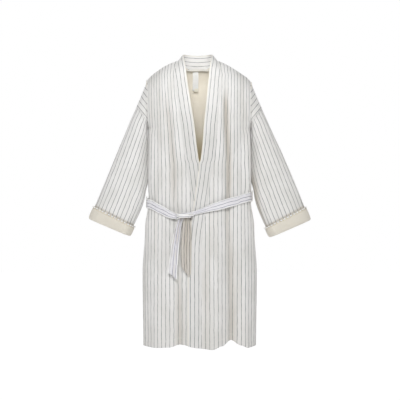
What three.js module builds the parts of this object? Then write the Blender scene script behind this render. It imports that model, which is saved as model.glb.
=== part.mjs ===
// A kimono-style bathrobe, hanging upright by the loop inside its collar, with its belt tied.
// Millimetres, +Z up, the front faces -Y. Left and right are the wearer's: the wearer's left is +X.
// The origin is on the lower edge of the hanger loop, where a hook bears.
import * as THREE from "three";

// ---- Driving dimensions ----
const HEM_Z = -1082; // lower edge of the robe
const WAIST_Z = -508; // middle of the belt at the back
const SHOULDER_X = 204; // armhole plane, from the centre line
const SHOULDER_Z = -34; // top of the armhole
const ARMHOLE_HALF = 98; // half the height of the armhole
const ARMHOLE_DEPTH = 62; // half the depth of the armhole
const NECK_HALF = 73; // neck seam to centre line on the shoulder
const NECK_TOP_Z = 37; // neck seam on the shoulder
const NECK_BACK_Z = 4; // neck seam at the centre back
const V_TIP_Z = -361; // where the two fronts cross
const NECK_LEAN = 8; // the collar hangs this far towards the wearer's right
const BAND_WIDTH = 50; // front and collar band
const COLLAR_TOP_Z = 62; // free edge of the collar at the back
const LAP = 7; // the left front lies this far in front of the right one
const SKIN = 2; // outer cloth
const LINING_OUT = -2.4; // lining, as offsets from the outer face of the cloth
const LINING_IN = -3.9;
const GAP = 0.4; // between pieces that touch
const BELT_WIDTH = 36;
const BELT_THICK = 3;
const BELT_SLACK = 2.6; // between the belt and the cloth under it
const CUFF_HEIGHT = 50;
const CUFF_THICK = 4;
const SLEEVE_TUCK_DEG = 38; // cloth folded in under the arm, as a turn about the shoulder point
const SHOULDER_CROWN = 9; // the shoulder ridge stands this far over a straight line
const NECK_EDGE = { x: 52, z: 40 }; // the straight free edge of a front band runs through here
const BAND_TURN_Z = -30; // above this the front band turns back round the neck
const LAP_SIDE = [66, 110]; // the lap flattens out over this stretch, from the centre line
const LAP_TOP = [-250, -100]; // and over this one, upwards
const LEAN_SIDE = [90, 200]; // the lean fades out over this stretch, from the centre line
const SEAM_INSET = 8; // the sleeve starts this far inside the armhole's outline
const SLEEVE_HALF_DEPTH = { start: 54, end: 40 };
const NECK_SHARE = 0.4; // share of the back's columns in the width of the neck
const TUCK_SHARE = 0.28; // share of a sleeve's rings in the tuck
const KNOT = { x: -58, y: -101, z: -576, halfWidth: 26, halfDepth: 12, halfHeight: 17 };
const KNOT_REACH = 29; // the belt enters the knot this far from its middle
const BELT_PINCH = 0.45; // share of its width that the belt has where it leaves the knot
const BELT_PINCH_TURN = 0.6; // radians round the waist over which it spreads out again
const BELT_SIDE_Z = { left: -494, right: -519 };
const BELT_BACK_DROP = 14; // the belt hangs this much lower at the centre back
const BELT_OVER_LAP = { out: 9.5, right: [-150, -90], left: [100, 160] };
const TAIL_TOP_Z = -600;
const TAIL_OUT = 14; // the belt ends hang this far in front of the robe
const LOOP_Y = 57; // middle of the hanger loop's tape, behind the shoulder ridge
const LOOP = { left: -55, right: 39, height: 7, thick: 1.2, bow: 1, end: 12 };
const LABEL_Y = LOOP_Y + 7.5;
const ARM_ROWS = 10; // rows of facets over the height of the armhole
const CHEST_ROWS = 3; // rows of facets from there to the waist
const SKIRT_ROWS = 5; // rows of facets from the waist to the hem

// ---- Colours and finishes ----
const CLOTH = { color: 0xe6e5e0, roughness: 0.92, metalness: 0 };
const LINING = { color: 0xd9d0b8, roughness: 0.95, metalness: 0 };
const CUFF = { color: 0xdcd4c4, roughness: 0.95, metalness: 0 };
const BELT = { color: 0xeae8ee, roughness: 0.9, metalness: 0 };
const TAPE = { color: 0xf2f0ea, roughness: 0.85, metalness: 0 };
const LABEL = { color: 0xe9e7df, roughness: 0.7, metalness: 0 };
const SIZE_TAB = { color: 0xece3c8, roughness: 0.75, metalness: 0 };

// ---- Small helpers ----
const { lerp, smoothstep } = THREE.MathUtils;
const unit = (t) => Math.min(1, Math.max(0, t));
const ease = (t) => unit(t) ** 2 * (3 - 2 * unit(t));
const round = (t) => Math.sqrt(Math.max(0, 1 - (1 - unit(t)) ** 2));

// A smooth function through [place, value] pairs, listed by falling place.
function profile(pairs) {
  return (place) => {
    const next = pairs.findIndex(([at]) => at <= place);
    if (next === 0) return pairs[0][1];
    if (next < 0) return pairs[pairs.length - 1][1];
    const [[z0, a], [z1, b]] = [pairs[next - 1], pairs[next]];
    return lerp(a, b, ease((z0 - place) / (z0 - z1)));
  };
}

// ---- The shape of the body ----
const halfWidth = profile([[-400, 204], [WAIST_Z, 200], [-620, 214], [-800, 224], [HEM_Z, 221]]);
const midDepth = profile([[-150, 92], [WAIST_Z, 78], [-700, 90], [HEM_Z, 98]]);
const armholeMidZ = SHOULDER_Z - ARMHOLE_HALF;
const underarmZ = SHOULDER_Z - 2 * ARMHOLE_HALF;

// Height of the shoulder ridge, by distance from the centre line.
function shoulderZ(x) {
  const slope = (NECK_TOP_Z - SHOULDER_Z) / (SHOULDER_X - NECK_HALF);
  const out = Math.max(0, Math.abs(x) - NECK_HALF);
  const crown = Math.sin((Math.PI * out) / (SHOULDER_X - NECK_HALF));
  return NECK_TOP_Z - slope * out + SHOULDER_CROWN * crown;
}

// Half the depth of the armhole: full above its middle, an ellipse below, nothing under the arm.
function sideDepth(z) {
  const below = (armholeMidZ - z) / ARMHOLE_HALF;
  return ARMHOLE_DEPTH * Math.sqrt(1 - unit(below) ** 2);
}

// Half the depth of the robe at x, z.
function halfDepth(x, z) {
  const side = sideDepth(z);
  const across = unit(Math.abs(x) / halfWidth(z));
  const depth = Math.sqrt(side ** 2 + (midDepth(z) ** 2 - side ** 2) * (1 - across ** 2));
  return depth * round((shoulderZ(x) - z) / ARMHOLE_HALF) + GAP / 2;
}

// Height of a point at a share v of the way from the hem to the shoulder ridge, with one row of
// facets at the waist. topTurn is where the ridge's rounding starts: 0 on the ridge itself.
const BODY_ROWS = SKIRT_ROWS + CHEST_ROWS + ARM_ROWS;
function rowZ(x, v, topTurn = 0) {
  const row = v * BODY_ROWS;
  const top = shoulderZ(x);
  if (row < SKIRT_ROWS) return lerp(HEM_Z, WAIST_Z, row / SKIRT_ROWS);
  const upper = (row - SKIRT_ROWS) / CHEST_ROWS;
  if (upper < 1) return lerp(WAIST_Z, top - 2 * ARMHOLE_HALF, upper);
  const turn = lerp(Math.PI, topTurn, (row - SKIRT_ROWS - CHEST_ROWS) / ARM_ROWS);
  return top - ARMHOLE_HALF * (1 - Math.cos(turn));
}

// Free edge of a front band, as a distance from the centre line towards its own side.
const edgeBelowTip = profile([[V_TIP_Z, 0], [WAIST_Z, -20], [-620, -46], [HEM_Z, -46]]);
function frontEdge(z) {
  const share = (z - V_TIP_Z) / (NECK_EDGE.z - V_TIP_Z);
  return z > V_TIP_Z ? NECK_EDGE.x * share : edgeBelowTip(z);
}

// Seam between a front band and its panel.
const seamTop = profile([[NECK_TOP_Z, NECK_HALF], [10, 83], [BAND_TURN_Z, 90]]);
function bandSeam(z) {
  const narrower = 4 * smoothstep(z, BAND_TURN_Z - 60, BAND_TURN_Z);
  return z > BAND_TURN_Z ? seamTop(z) : frontEdge(z) + BAND_WIDTH - narrower;
}

// How far the left front stands out over the right one.
function lapRise(x, z) {
  return LAP * (1 - smoothstep(x, ...LAP_SIDE)) * (1 - smoothstep(z, ...LAP_TOP));
}

// ---- Solids ----
// The whole garment leans a little at the neck.
function lean(p) {
  const height = smoothstep(p.z, V_TIP_Z, NECK_TOP_Z);
  p.x -= NECK_LEAN * height * (1 - smoothstep(Math.abs(p.x), ...LEAN_SIDE));
  return p;
}

function normalAt(point, u, v, wrap) {
  const e = 0.004;
  const [before, after] = wrap ? [u - e, u + e] : [Math.max(0, u - e), Math.min(1, u + e)];
  const du = point(after, v).sub(point(before, v));
  const dv = point(u, Math.min(1, v + e)).sub(point(u, Math.max(0, v - e)));
  return du.cross(dv).normalize();
}

// Six times the volume inside a triangle mesh: negative if its faces point in.
function signedVolume(corners, index) {
  let sum = 0;
  for (let i = 0; i < index.length; i += 3) {
    const [a, b, c] = [corners[index[i]], corners[index[i + 1]], corners[index[i + 2]]];
    sum += a.dot(new THREE.Vector3().crossVectors(b, c));
  }
  return sum;
}

function closedGeometry(corners, index) {
  if (signedVolume(corners, index) < 0) index.reverse();
  const geometry = new THREE.BufferGeometry();
  geometry.setFromPoints(corners);
  geometry.setIndex(index);
  geometry.computeVertexNormals();
  return geometry;
}

// A sheet of cloth as a closed solid: the space between two offsets of the surface point(u, v).
// wrap joins u = 1 to u = 0, mirror makes the same sheet for the wearer's right, and limit keeps
// corners on their own side of a seam.
function sheet(point, cols, rows, outer, inner, { wrap = false, mirror = false, limit = null } = {}) {
  const across = wrap ? cols : cols + 1;
  const corners = [];
  for (const offset of [outer, inner]) {
    for (let j = 0; j <= rows; j++) {
      for (let i = 0; i < across; i++) {
        const [u, v] = [i / cols, j / rows];
        const p = point(u, v).addScaledVector(normalAt(point, u, v, wrap), offset);
        if (limit) limit(p);
        if (mirror) p.x = -p.x;
        corners.push(lean(p));
      }
    }
  }
  const layer = across * (rows + 1);
  const at = (i, j, k) => (i % across) + j * across + k * layer;
  const index = [];
  const quad = (a, b, c, d) => {
    const shorter = corners[a].distanceTo(corners[c]) <= corners[b].distanceTo(corners[d]) + 1e-3;
    index.push(...(shorter ? [a, b, c, a, c, d] : [a, b, d, b, c, d]));
  };
  for (let j = 0; j < rows; j++) {
    for (let i = 0; i < cols; i++) {
      quad(at(i, j, 0), at(i + 1, j, 0), at(i + 1, j + 1, 0), at(i, j + 1, 0));
      quad(at(i, j, 1), at(i, j + 1, 1), at(i + 1, j + 1, 1), at(i + 1, j, 1));
    }
  }
  for (let i = 0; i < cols; i++) {
    quad(at(i, 0, 0), at(i, 0, 1), at(i + 1, 0, 1), at(i + 1, 0, 0));
    quad(at(i, rows, 0), at(i + 1, rows, 0), at(i + 1, rows, 1), at(i, rows, 1));
  }
  for (let j = 0; j < rows && !wrap; j++) {
    quad(at(0, j, 0), at(0, j + 1, 0), at(0, j + 1, 1), at(0, j, 1));
    quad(at(cols, j, 0), at(cols, j, 1), at(cols, j + 1, 1), at(cols, j + 1, 0));
  }
  return closedGeometry(corners, index);
}

// ---- Body panels ----
const keepFront = (p) => {
  p.y = Math.min(p.y, -GAP / 2);
  if (p.z > underarmZ) p.x = Math.min(p.x, SHOULDER_X - GAP / 2);
};
const keepBack = (p) => {
  p.y = Math.max(p.y, GAP / 2);
  const most = SHOULDER_X - GAP / 2;
  if (p.z > underarmZ) p.x = Math.min(most, Math.max(-most, p.x));
};

// A front, from its band seam to the armhole and side seam. rise lifts the one that laps over.
function frontSurface(rise) {
  return (u, v) => {
    let x = lerp(NECK_HALF, SHOULDER_X, u);
    let z = 0;
    for (let pass = 0; pass < 6; pass++) {
      z = rowZ(x, v);
      const start = Math.asin((bandSeam(z) + 1) / halfWidth(z));
      x = halfWidth(z) * Math.sin(lerp(start, Math.PI / 2, u));
    }
    return new THREE.Vector3(x, -halfDepth(x, z) - rise(x, z), z);
  };
}
const noRise = () => 0;

// Height of the back's upper edge: the neck seam in the middle, the shoulder ridge outside it.
function backTopTurn(x) {
  const out = unit(Math.abs(x) / NECK_HALF);
  const below = (NECK_TOP_Z - NECK_BACK_Z) * (1 - out ** 2.4);
  return Math.acos(1 - below / ARMHOLE_HALF);
}

// The back: the middle share of its width is the neck, and the rest runs out to the side seams.
function backSurface(u, v) {
  const s = 2 * u - 1;
  const beyond = (Math.abs(s) - NECK_SHARE) / (1 - NECK_SHARE);
  const inNeck = NECK_HALF * Math.sin((Math.PI * Math.min(1, Math.abs(s) / NECK_SHARE)) / 2);
  let x = 0;
  let z = 0;
  for (let pass = 0; pass < 6; pass++) {
    const neck = Math.asin(inNeck / halfWidth(z));
    const angle = lerp(neck, Math.PI / 2, Math.max(0, beyond));
    x = Math.sign(s) * halfWidth(z) * Math.sin(angle);
    z = rowZ(x, v, backTopTurn(x));
  }
  return new THREE.Vector3(-x, halfDepth(x, z), z);
}

// ---- Bands ----
// Pairs of points round the collar, from the shoulder to the centre back: neck seam and free edge.
const COLLAR_SEAM = [
  [71, 4, 38.8],
  [66, 31, 32],
  [48.7, 53.5, 18.4],
  [24.3, 65.3, 8.2],
  [0, 67.8, 5.8],
];
const COLLAR_EDGE = [
  [57, 27, COLLAR_TOP_Z],
  [53, 38, COLLAR_TOP_Z + 2],
  [42, 52, COLLAR_TOP_Z + 2],
  [22, 60, COLLAR_TOP_Z + 1],
  [0, 63, COLLAR_TOP_Z],
];
// The free edge of a front band from the shoulder down to where the band lies flat.
const SHOULDER_EDGE = [
  [57.5, 23, COLLAR_TOP_Z],
  [56, -10, 57],
  [52.5, -46, 40],
  [47.5, -70, 14],
  [43, -82, -14],
];
const FLAT_SHARE = 1 - 4 / BODY_ROWS; // of a front band's height, below where it turns back
const smoothCurve = (list) => {
  return new THREE.CatmullRomCurve3(list.map((p) => new THREE.Vector3(...p)), false, "centripetal");
};

// A front band: u from its free edge to its seam, v from the hem to the shoulder.
function frontBandSurface(rise) {
  const panel = frontSurface(rise);
  const shoulder = smoothCurve(SHOULDER_EDGE);
  return (u, v) => {
    const seam = panel(0, v);
    const climb = smoothstep(v, FLAT_SHARE, 1);
    seam.x -= lerp(1, 2, climb);
    seam.z += 1.5 * climb;
    if (v > FLAT_SHARE) return shoulder.getPoint((1 - v) / (1 - FLAT_SHARE)).lerp(seam, u);
    const z = seam.z + 28 * smoothstep(seam.z, -200, -42);
    const edge = new THREE.Vector3(frontEdge(z), 0, z);
    edge.y = -halfDepth(edge.x, z) - rise(edge.x, z);
    return edge.lerp(seam, u);
  };
}

// The back collar: v from the wearer's left shoulder, round the back, to the right shoulder.
function collarSurface() {
  const seam = smoothCurve(COLLAR_SEAM);
  const edge = smoothCurve(COLLAR_EDGE);
  return (u, v) => {
    const t = 1 - Math.abs(2 * v - 1);
    const p = edge.getPoint(t).lerp(seam.getPoint(t), u);
    if (v > 0.5) p.x = -p.x;
    return p;
  };
}

// ---- Sleeves ----
const sleeveTop = new THREE.LineCurve3(
  new THREE.Vector3(SHOULDER_X + GAP, 0, SHOULDER_Z - SEAM_INSET),
  new THREE.Vector3(431, 0, -582),
);
const sleeveUnder = smoothCurve([
  [SHOULDER_X + GAP, 0, underarmZ + SEAM_INSET],
  [209, 0, -330],
  [214.5, 0, -505],
  [276, 0, -648],
]);

// A sleeve: u runs round it from the top, v from the tuck inside the body to its end.
function sleeveSurface(u, v) {
  const angle = 2 * Math.PI * u;
  const w = Math.max(0, (v - TUCK_SHARE) / (1 - TUCK_SHARE));
  const top = sleeveTop.getPoint(w);
  const under = sleeveUnder.getPoint(w);
  const p = new THREE.Vector3().lerpVectors(top, under, (1 - Math.cos(angle)) / 2);
  p.y = -lerp(SLEEVE_HALF_DEPTH.start, SLEEVE_HALF_DEPTH.end, ease(w)) * Math.sin(angle);
  if (v < TUCK_SHARE) {
    const turn = THREE.MathUtils.degToRad(SLEEVE_TUCK_DEG * (1 - v / TUCK_SHARE));
    const reach = SHOULDER_Z - p.z;
    p.x -= reach * Math.sin(turn);
    p.z = SHOULDER_Z - reach * Math.cos(turn);
  }
  return p;
}

// A turned-up cuff: the last stretch of the sleeve, v down to the sleeve's end.
function cuffSurface(u, v) {
  const w = 1 - ((1 - v) * CUFF_HEIGHT) / sleeveTop.getLength();
  return sleeveSurface(u, lerp(TUCK_SHARE, 1, w));
}

// ---- Belt ----
const beltFrontRight = profile([[-86, -577], [-SHOULDER_X, BELT_SIDE_Z.right]]);
const beltFrontLeft = profile([[SHOULDER_X, BELT_SIDE_Z.left], [70, -533], [-30, -563]]);

// Height of the belt's middle line. x is the distance from the centre line, back is how far round
// the back it is: 0 at the sides and at the front, 1 at the centre back.
function beltZ(x, back) {
  const level = lerp(BELT_SIDE_Z.right, BELT_SIDE_Z.left, (x / SHOULDER_X + 1) / 2);
  if (back > 0) return level - BELT_BACK_DROP * back;
  return x < KNOT.x ? beltFrontRight(x) : beltFrontLeft(x);
}

// The waist part of the belt: u down its width, v from the knot's left side, round the back, to the
// knot's right side. It lies on the lap of the left front.
function beltSurface(u, v) {
  const start = -Math.acos((KNOT.x + KNOT_REACH) / SHOULDER_X);
  const end = 2 * Math.PI - Math.acos((KNOT.x - KNOT_REACH) / SHOULDER_X);
  const angle = lerp(start, end, v);
  const x = SHOULDER_X * Math.cos(angle);
  const z = beltZ(x, Math.max(0, Math.sin(angle)));
  const widest = z - BELT_WIDTH / 2;
  const { out, right, left } = BELT_OVER_LAP;
  const onLap = Math.sin(angle) < 0 ? out * smoothstep(x, ...right) * (1 - smoothstep(x, ...left)) : 0;
  const spread = smoothstep(angle, start, start + BELT_PINCH_TURN);
  const height = BELT_WIDTH * lerp(BELT_PINCH, 1, spread);
  return new THREE.Vector3(
    halfWidth(widest) * Math.cos(angle),
    midDepth(widest) * Math.sin(angle) - onLap,
    z + (0.5 - u) * height,
  );
}

function knotGeometry() {
  const geometry = new THREE.SphereGeometry(1, 18, 12);
  geometry.scale(KNOT.halfWidth, KNOT.halfDepth, KNOT.halfHeight);
  return geometry;
}

// A belt end: a strip that hangs in front of the robe. left and right are its edges by height.
function tailSurface(left, right, bottom) {
  return (u, v) => {
    const z = lerp(lerp(bottom[0], bottom[1], u), TAIL_TOP_Z, v);
    const x = lerp(left(z), right(z), u);
    return new THREE.Vector3(x, -midDepth(z) - TAIL_OUT, z);
  };
}
const tailRightEdges = [
  profile([[TAIL_TOP_Z, -88], [-700, -108], [-790, -121]]),
  profile([[TAIL_TOP_Z, -80], [-700, -82], [-816, -94]]),
];
const tailLeftEdges = [
  profile([[TAIL_TOP_Z, -71], [-700, -76], [-790, -78]]),
  profile([[TAIL_TOP_Z, -38], [-700, -36], [-816, -43]]),
];

// ---- Small pieces ----
// A thread-sewn belt loop at a side seam: a flat staple that the belt runs through.
function beltLoopGeometry(z) {
  const [play, foot, wide, thick] = [2, 4, 6, 1.2];
  const half = BELT_WIDTH / 2 + play;
  const side = halfWidth(z - BELT_WIDTH / 2);
  const wall = side + 3; // its feet start here, against the cloth
  const inner = side + BELT_SLACK + BELT_THICK + GAP;
  const outer = inner + thick;
  const shape = new THREE.Shape();
  shape.moveTo(wall, half + foot);
  shape.lineTo(outer, half + foot);
  shape.lineTo(outer, -half - foot);
  shape.lineTo(wall, -half - foot);
  shape.lineTo(wall, -half);
  shape.lineTo(inner, -half);
  shape.lineTo(inner, half);
  shape.lineTo(wall, half);
  shape.closePath();
  const geometry = new THREE.ExtrudeGeometry(shape, { depth: wide, bevelEnabled: false });
  geometry.translate(0, 0, -wide / 2);
  geometry.rotateX(Math.PI / 2);
  geometry.translate(0, 0, z);
  return geometry;
}

// The hanger loop: a flat tape, sewn to the neck at both ends and standing off it in between.
function hangerLoopGeometry() {
  const { left, right, height, thick, bow, end } = LOOP;
  const [front, back] = [LOOP_Y - thick / 2, LOOP_Y + thick / 2];
  const shape = new THREE.Shape();
  shape.moveTo(left, front + bow);
  shape.quadraticCurveTo(left + end / 2, front, left + end, front);
  shape.lineTo(right - end, front);
  shape.quadraticCurveTo(right - end / 2, front, right, front + bow);
  shape.lineTo(right, back + bow);
  shape.quadraticCurveTo(right - end / 2, back, right - end, back);
  shape.lineTo(left + end, back);
  shape.quadraticCurveTo(left + end / 2, back, left, back + bow);
  shape.closePath();
  return new THREE.ExtrudeGeometry(shape, { depth: height, bevelEnabled: false, curveSegments: 3 });
}

// A flat rectangle of tape that hangs straight down, from x0 to x1 and from z0 to z1.
function hangingTape(x0, x1, z0, z1, thick) {
  const geometry = new THREE.BoxGeometry(x1 - x0, thick, z1 - z0);
  geometry.translate((x0 + x1) / 2, 0, (z0 + z1) / 2);
  return geometry;
}

// ---- Assembly ----
const robe = new THREE.Group();
robe.position.y = -LOOP_Y;

function add(name, geometry, finish, place = [0, 0, 0]) {
  const mesh = new THREE.Mesh(geometry, new THREE.MeshStandardMaterial(finish));
  mesh.name = name;
  mesh.position.set(...place);
  robe.add(mesh);
}

add("back_panel", sheet(backSurface, 20, BODY_ROWS, 0, -SKIN, { limit: keepBack }), CLOTH);
add("back_lining", sheet(backSurface, 20, BODY_ROWS, LINING_OUT, LINING_IN, { limit: keepBack }), LINING);
add("back_collar_band", sheet(collarSurface(), 1, 24, 1, -2.4), CLOTH);

for (const [side, mirror, rise] of [["left", false, lapRise], ["right", true, noRise]]) {
  const front = frontSurface(rise);
  const skin = { mirror, limit: keepFront };
  add(`${side}_front_panel`, sheet(front, 9, BODY_ROWS, 0, -SKIN, skin), CLOTH);
  add(`${side}_front_lining`, sheet(front, 9, BODY_ROWS, LINING_OUT, LINING_IN, skin), LINING);
  add(`${side}_front_band`, sheet(frontBandSurface(rise), 1, BODY_ROWS, 1, -2.4, { mirror }), CLOTH);
  const tube = { wrap: true, mirror };
  add(`${side}_sleeve`, sheet(sleeveSurface, 16, 14, 0, -SKIN, tube), CLOTH);
  add(`${side}_sleeve_lining`, sheet(sleeveSurface, 16, 14, LINING_OUT, LINING_IN, tube), LINING);
  add(`${side}_cuff`, sheet(cuffSurface, 16, 2, CUFF_THICK + GAP, GAP, tube), CUFF);
}

add("waist_belt", sheet(beltSurface, 1, 56, BELT_SLACK + BELT_THICK, BELT_SLACK), BELT);
add("belt_knot", knotGeometry(), BELT, [KNOT.x, KNOT.y, KNOT.z]);
add("belt_tail_right", sheet(tailSurface(...tailRightEdges, [-788, -816]), 1, 6, 0, -3), BELT);
add("belt_tail_left", sheet(tailSurface(...tailLeftEdges, [-786, -816]), 1, 6, 0, -3), BELT);

add("hanger_loop", hangerLoopGeometry(), TAPE);
add("neck_label", hangingTape(-28, -5.5, -76, -2, 0.7), LABEL, [0, LABEL_Y, 0]);
add("size_tab", hangingTape(-22, -7.5, -80, -68, 0.7), SIZE_TAB, [0, LABEL_Y - 1.1, 0]);

for (const [side, turn] of [["left", 0], ["right", Math.PI]]) {
  add(`${side}_belt_loop`, beltLoopGeometry(BELT_SIDE_Z[side]).rotateZ(turn), TAPE);
}

export default robe;
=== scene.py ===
# The looks of a bathrobe that hangs by the loop inside its collar. Shapes are worked out in
# millimetres, with y = 0 on the shoulder ridge, and become metres in the frame's own place when a
# mesh is made. Left and right are the wearer's: left is +X.
import math

import bmesh
import bpy
import numpy as np
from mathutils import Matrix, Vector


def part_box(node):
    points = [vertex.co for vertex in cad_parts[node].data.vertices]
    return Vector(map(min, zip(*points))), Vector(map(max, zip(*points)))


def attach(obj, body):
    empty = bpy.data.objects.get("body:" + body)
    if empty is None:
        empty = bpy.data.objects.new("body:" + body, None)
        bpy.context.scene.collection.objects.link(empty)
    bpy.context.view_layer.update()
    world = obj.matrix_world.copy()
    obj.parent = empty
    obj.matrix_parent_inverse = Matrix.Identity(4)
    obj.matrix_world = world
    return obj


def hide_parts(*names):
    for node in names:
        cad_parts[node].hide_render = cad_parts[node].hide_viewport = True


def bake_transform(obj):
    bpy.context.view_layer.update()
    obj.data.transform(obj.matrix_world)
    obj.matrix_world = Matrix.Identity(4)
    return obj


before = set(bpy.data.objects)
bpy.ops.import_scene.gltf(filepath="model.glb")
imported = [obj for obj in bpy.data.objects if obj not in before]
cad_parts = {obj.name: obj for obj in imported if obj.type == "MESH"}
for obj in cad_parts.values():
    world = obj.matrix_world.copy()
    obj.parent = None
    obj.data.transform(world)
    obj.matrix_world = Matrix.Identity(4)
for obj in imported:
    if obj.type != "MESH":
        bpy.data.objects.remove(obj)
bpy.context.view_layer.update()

TURN = 2 * math.pi

# ---- Driving dimensions, in millimetres, as the CAD part has them ----
MM = 0.001
SHOULDER_Z = -34
ARMHOLE_HALF = 98
ARMHOLE_DEPTH = 62
SHOULDER_X = 204
SHOULDER_CROWN = 9
NECK_HALF = 73
NECK_TOP_Z = 37
NECK_BACK_Z = 4
NECK_EDGE = (52, 40)
NECK_LEAN = 8
V_TIP_Z = -361
WAIST_Z = -508
BAND_WIDTH = 50
BAND_TURN_Z = -30
LAP = 7
LINING_OUT = -2.5
LINING_IN = -4.0
SKIN = 2
HEM_STITCH = 26  # the hem's row of stitches, up from its edge
BELT_WIDTH = 36
CUFF_HEIGHT = 50
UNDERARM_REACH = 188  # from the ridge to the foot of the armhole
SLEEVE_ROUND = 330  # round a sleeve
TUCK_DEG = 38  # cloth folded in under the arm, as a turn about the shoulder
GRAIN_LINE_X = 140  # the stripes of a front run true to a plumb line this far out
FRONT_GRAIN, BACK_GRAIN = 320, 400  # where their stripes are counted from
BELT_IN, BELT_OUT = 2.6, 5.6  # the belt's two faces, out from the robe
BELT_OVER_LAP = 9.5
BELT_SIDES = (-519, -494)  # the belt's middle at the right and left side
TAIL_OUT = 14
TAIL_TOP_Z = -600
TAIL_TUCK = 32  # how far a tail runs on up behind the knot


def node_box(node):
    """A CAD node's lowest and highest corners in this script's millimetres."""
    low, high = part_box(node)
    shift = np.array([0, RIDGE_Y, 0])
    return np.array(low) / MM - shift, np.array(high) / MM - shift


RIDGE_Y = sum(corner.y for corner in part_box("left_sleeve")) / 2 / MM
HEM_Z = node_box("back_panel")[0][2]
KNOT = sum(node_box("belt_knot")) / 2


# ---- Small helpers on arrays ----
def mix(a, b, t):
    return a + (b - a) * t


def ease(t):
    t = np.clip(t, 0, 1)
    return t * t * (3 - 2 * t)


def fade(value, low, high):
    """0 up to low, 1 from high on, smooth in between."""
    return ease((value - low) / (high - low))


def fall(value, low, high):
    """1 up to low, 0 from high on."""
    return 1 - fade(value, low, high)


def bump(value, centre, width):
    """1 at the centre, falling off like a bell."""
    return np.exp(-(((value - centre) / width) ** 2))


def profile(*pairs):
    """A smooth function through (place, value) pairs, listed by falling place."""
    places, values = np.array(pairs[::-1], float).T

    def at(place):
        place = np.clip(place, places[0], places[-1])
        i = np.clip(np.searchsorted(places, place, side="right") - 1, 0, len(places) - 2)
        t = (place - places[i]) / (places[i + 1] - places[i])
        return mix(values[i], values[i + 1], ease(t))

    return at


def soft_line(*pairs):
    """Straight lines through such pairs, with their corners eased."""
    places, values = np.array(pairs[::-1], float).T
    near = (-24, -12, 0, 12, 24)
    return lambda place: np.mean([np.interp(place + k, places, values) for k in near], axis=0)


def grid_of(*parts):
    """Coordinates of any matching shapes, as one grid of points."""
    return np.stack(np.broadcast_arrays(*parts), axis=-1)


def unit(v):
    return v / np.linalg.norm(v, axis=-1, keepdims=True)


def along_line(line, place, places=None):
    """Points on a line whose own points lie at places, evenly from 0 to 1 unless they are given."""
    places = np.linspace(0, 1, len(line)) if places is None else places
    return np.stack([np.interp(place, places, line[:, k]) for k in range(3)], axis=-1)


def run_length(points):
    """Length along a line of points, or along each row of a grid of them, from its first one."""
    steps = np.linalg.norm(np.diff(points, axis=-2), axis=-1)
    return np.insert(np.cumsum(steps, axis=-1), 0, 0, axis=-1)


def noise(a, b, seed):
    """Smooth noise from -1 to 1 over two coordinates, one cell a unit wide."""
    lattice = np.random.default_rng(seed).uniform(-1, 1, (97, 97))
    i, j = np.floor(a).astype(int), np.floor(b).astype(int)
    ta, tb = ease(a - i), ease(b - j)
    corner = lambda di, dj: lattice[(i + di) % 97, (j + dj) % 97]
    low = mix(corner(0, 0), corner(1, 0), ta)
    high = mix(corner(0, 1), corner(1, 1), ta)
    return mix(low, high, tb)


def curve(points, count):
    """count points on a smooth curve (centripetal Catmull-Rom) through the given ones."""
    p = np.array(points, float)
    p = np.vstack([2 * p[0] - p[1], p, 2 * p[-1] - p[-2]])
    steps = np.linalg.norm(np.diff(p, axis=0), axis=1) ** 0.5
    t = np.concatenate([[0], np.cumsum(steps)])
    where = np.linspace(0, len(p) - 3 - 1e-9, count)
    i = where.astype(int) + 1
    at = t[i] + (where - i + 1) * (t[i + 1] - t[i])

    def part(a, b, x, y):
        share = (at - t[a]) / (t[b] - t[a])
        return mix(x, y, share[:, None])

    a1, a2, a3 = (part(j, j + 1, p[j], p[j + 1]) for j in (i - 1, i, i + 1))
    return part(i, i + 1, part(i - 1, i + 1, a1, a2), part(i, i + 2, a2, a3))


# ---- The shape of the body ----
half_width = profile((-400, 204), (WAIST_Z, 200), (-620, 214), (-800, 224), (HEM_Z, 221))
mid_depth = profile((-150, 92), (WAIST_Z, 78), (-700, 90), (HEM_Z, 98))
edge_below_tip = soft_line((V_TIP_Z, 0), (WAIST_Z, -20), (-600, -35), (-690, -45), (HEM_Z, -46))
seam_top = profile((NECK_TOP_Z, NECK_HALF), (10, 83), (BAND_TURN_Z, 90))


def shoulder_z(x):
    slope = (NECK_TOP_Z - SHOULDER_Z) / (SHOULDER_X - NECK_HALF)
    out = np.maximum(0, np.abs(x) - NECK_HALF)
    crown = np.sin(math.pi * out / (SHOULDER_X - NECK_HALF))
    return NECK_TOP_Z - slope * out + SHOULDER_CROWN * crown


def half_depth(x, z):
    """Half the depth of the robe at x, z."""
    below = np.clip((SHOULDER_Z - ARMHOLE_HALF - z) / ARMHOLE_HALF, 0, 1)
    side = ARMHOLE_DEPTH * np.sqrt(1 - below**2)
    across = np.clip(np.abs(x) / half_width(z), 0, 1)
    depth = np.sqrt(side**2 + (mid_depth(z) ** 2 - side**2) * (1 - across**2))
    top = np.clip((shoulder_z(x) - z) / ARMHOLE_HALF, 0, 1)
    return depth * np.sqrt(np.maximum(0, 1 - (1 - top) ** 2))


def front_edge(z):
    """Free edge of a front band, from the centre line towards its own side."""
    share = (z - V_TIP_Z) / (NECK_EDGE[1] - V_TIP_Z)
    above = NECK_EDGE[0] * share + 3.0 * fade(z, V_TIP_Z - 8, V_TIP_Z + 8) * fall(z, -310, -200)
    return mix(edge_below_tip(z), above, fade(z, V_TIP_Z - 18, V_TIP_Z + 2))


def band_seam(z):
    narrower = 4 * fade(z, BAND_TURN_Z - 60, BAND_TURN_Z)
    return np.where(z > BAND_TURN_Z, seam_top(z), front_edge(z) + BAND_WIDTH - narrower)


def front_points(x, z, flip):
    """Points of a front. The left one stands out over the right one."""
    rise = LAP * (flip > 0) * fall(x, 66, 110) * fall(z, -250, -100)
    return np.stack([x, -half_depth(x, z) - rise, z], axis=-1)


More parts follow.
